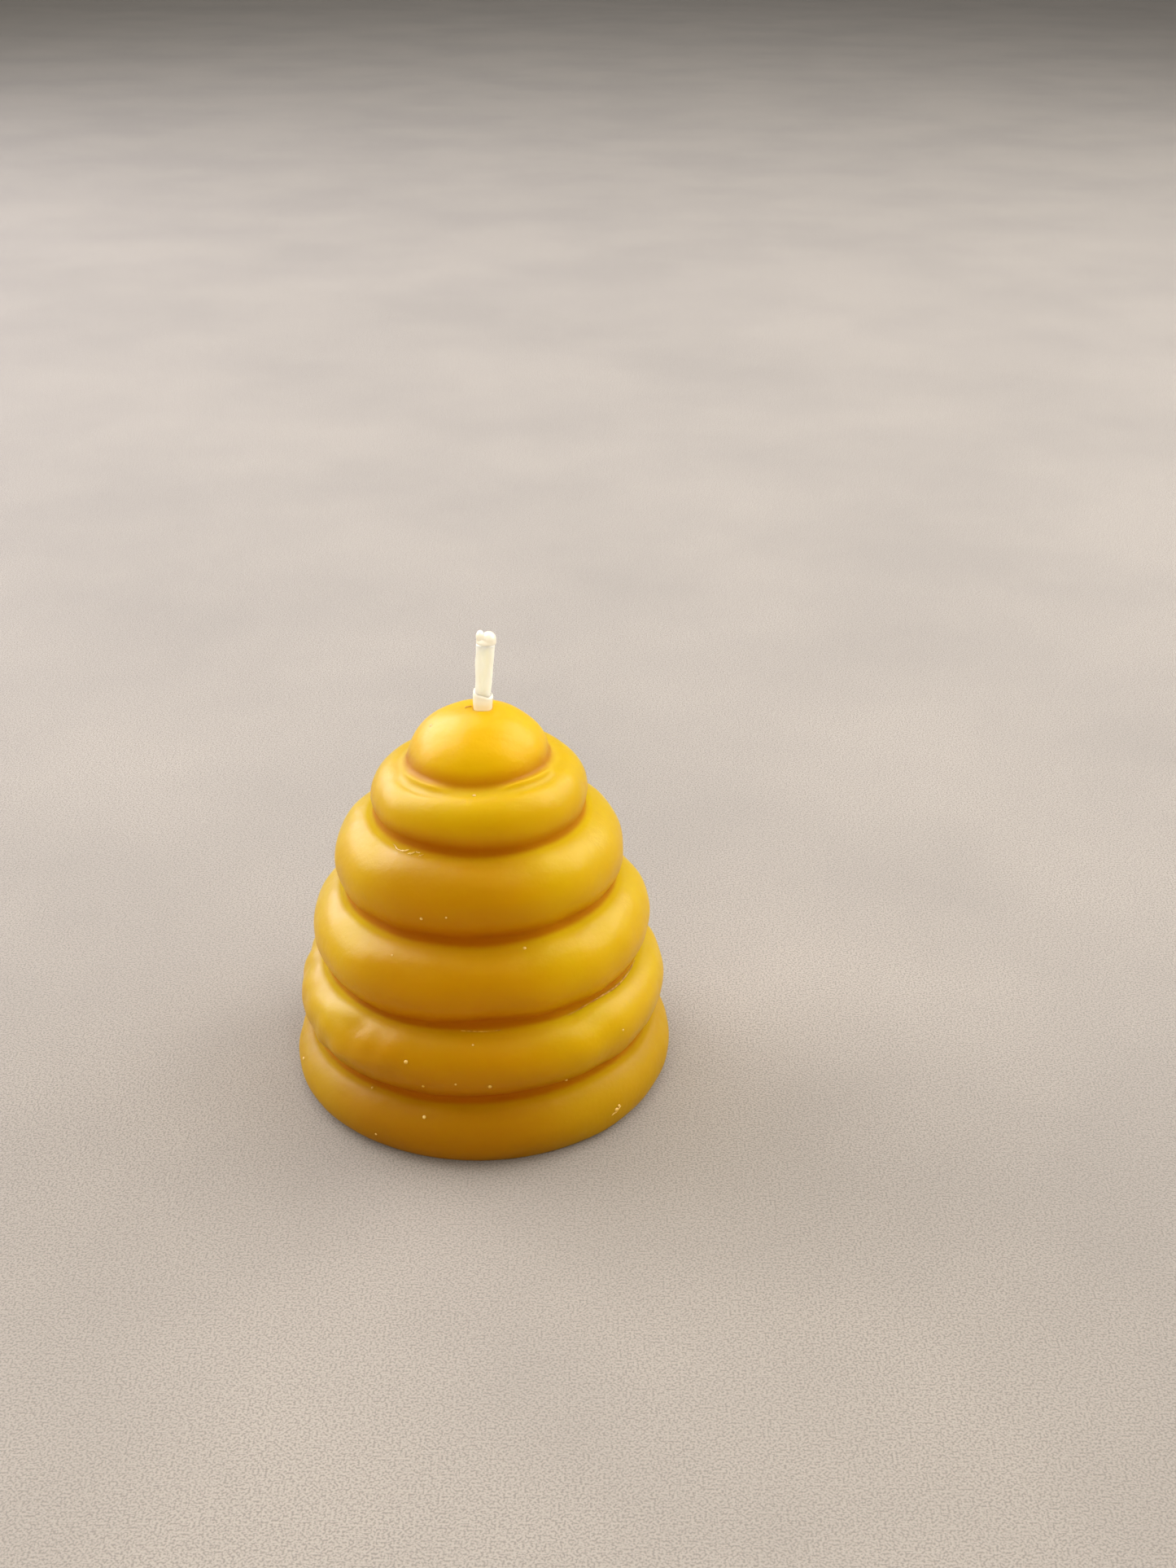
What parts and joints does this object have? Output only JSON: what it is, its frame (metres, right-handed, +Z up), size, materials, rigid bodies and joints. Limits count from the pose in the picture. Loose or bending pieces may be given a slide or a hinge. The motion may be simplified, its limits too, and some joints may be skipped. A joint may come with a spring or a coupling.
{
  "type": "skep candle",
  "caption": "Cast beeswax candle in the shape of a straw bee skep: stacked round coils under a dome, flat base, waxed braided wick standing out of the top.",
  "frame": {"origin": "centre of the flat base, on the surface the candle stands on", "axes": "+Z up along the axis of the cast body; +X towards the side that the standing wick leans to"},
  "size_m": [0.057, 0.057, 0.0709],
  "materials": {
    "beeswax": "satin cast beeswax",
    "primer_wax": "satin cream wax over braided cotton",
    "tip_wax": "glossy white wax bead",
    "cotton": "waxed cotton yarn"
  },
  "bodies": {
    "root": {"skep_body": "beeswax", "wick_primer_coat": "primer_wax", "wick_foot_collar": "primer_wax", "wick_tip": "tip_wax", "wick_strand_1": "cotton", "wick_strand_2": "cotton", "wick_strand_3": "cotton", "wick_strand_4": "cotton", "wick_strand_5": "cotton", "wick_strand_6": "cotton", "wick_strand_7": "cotton", "wick_strand_8": "cotton"}
  },
  "joints": []
}
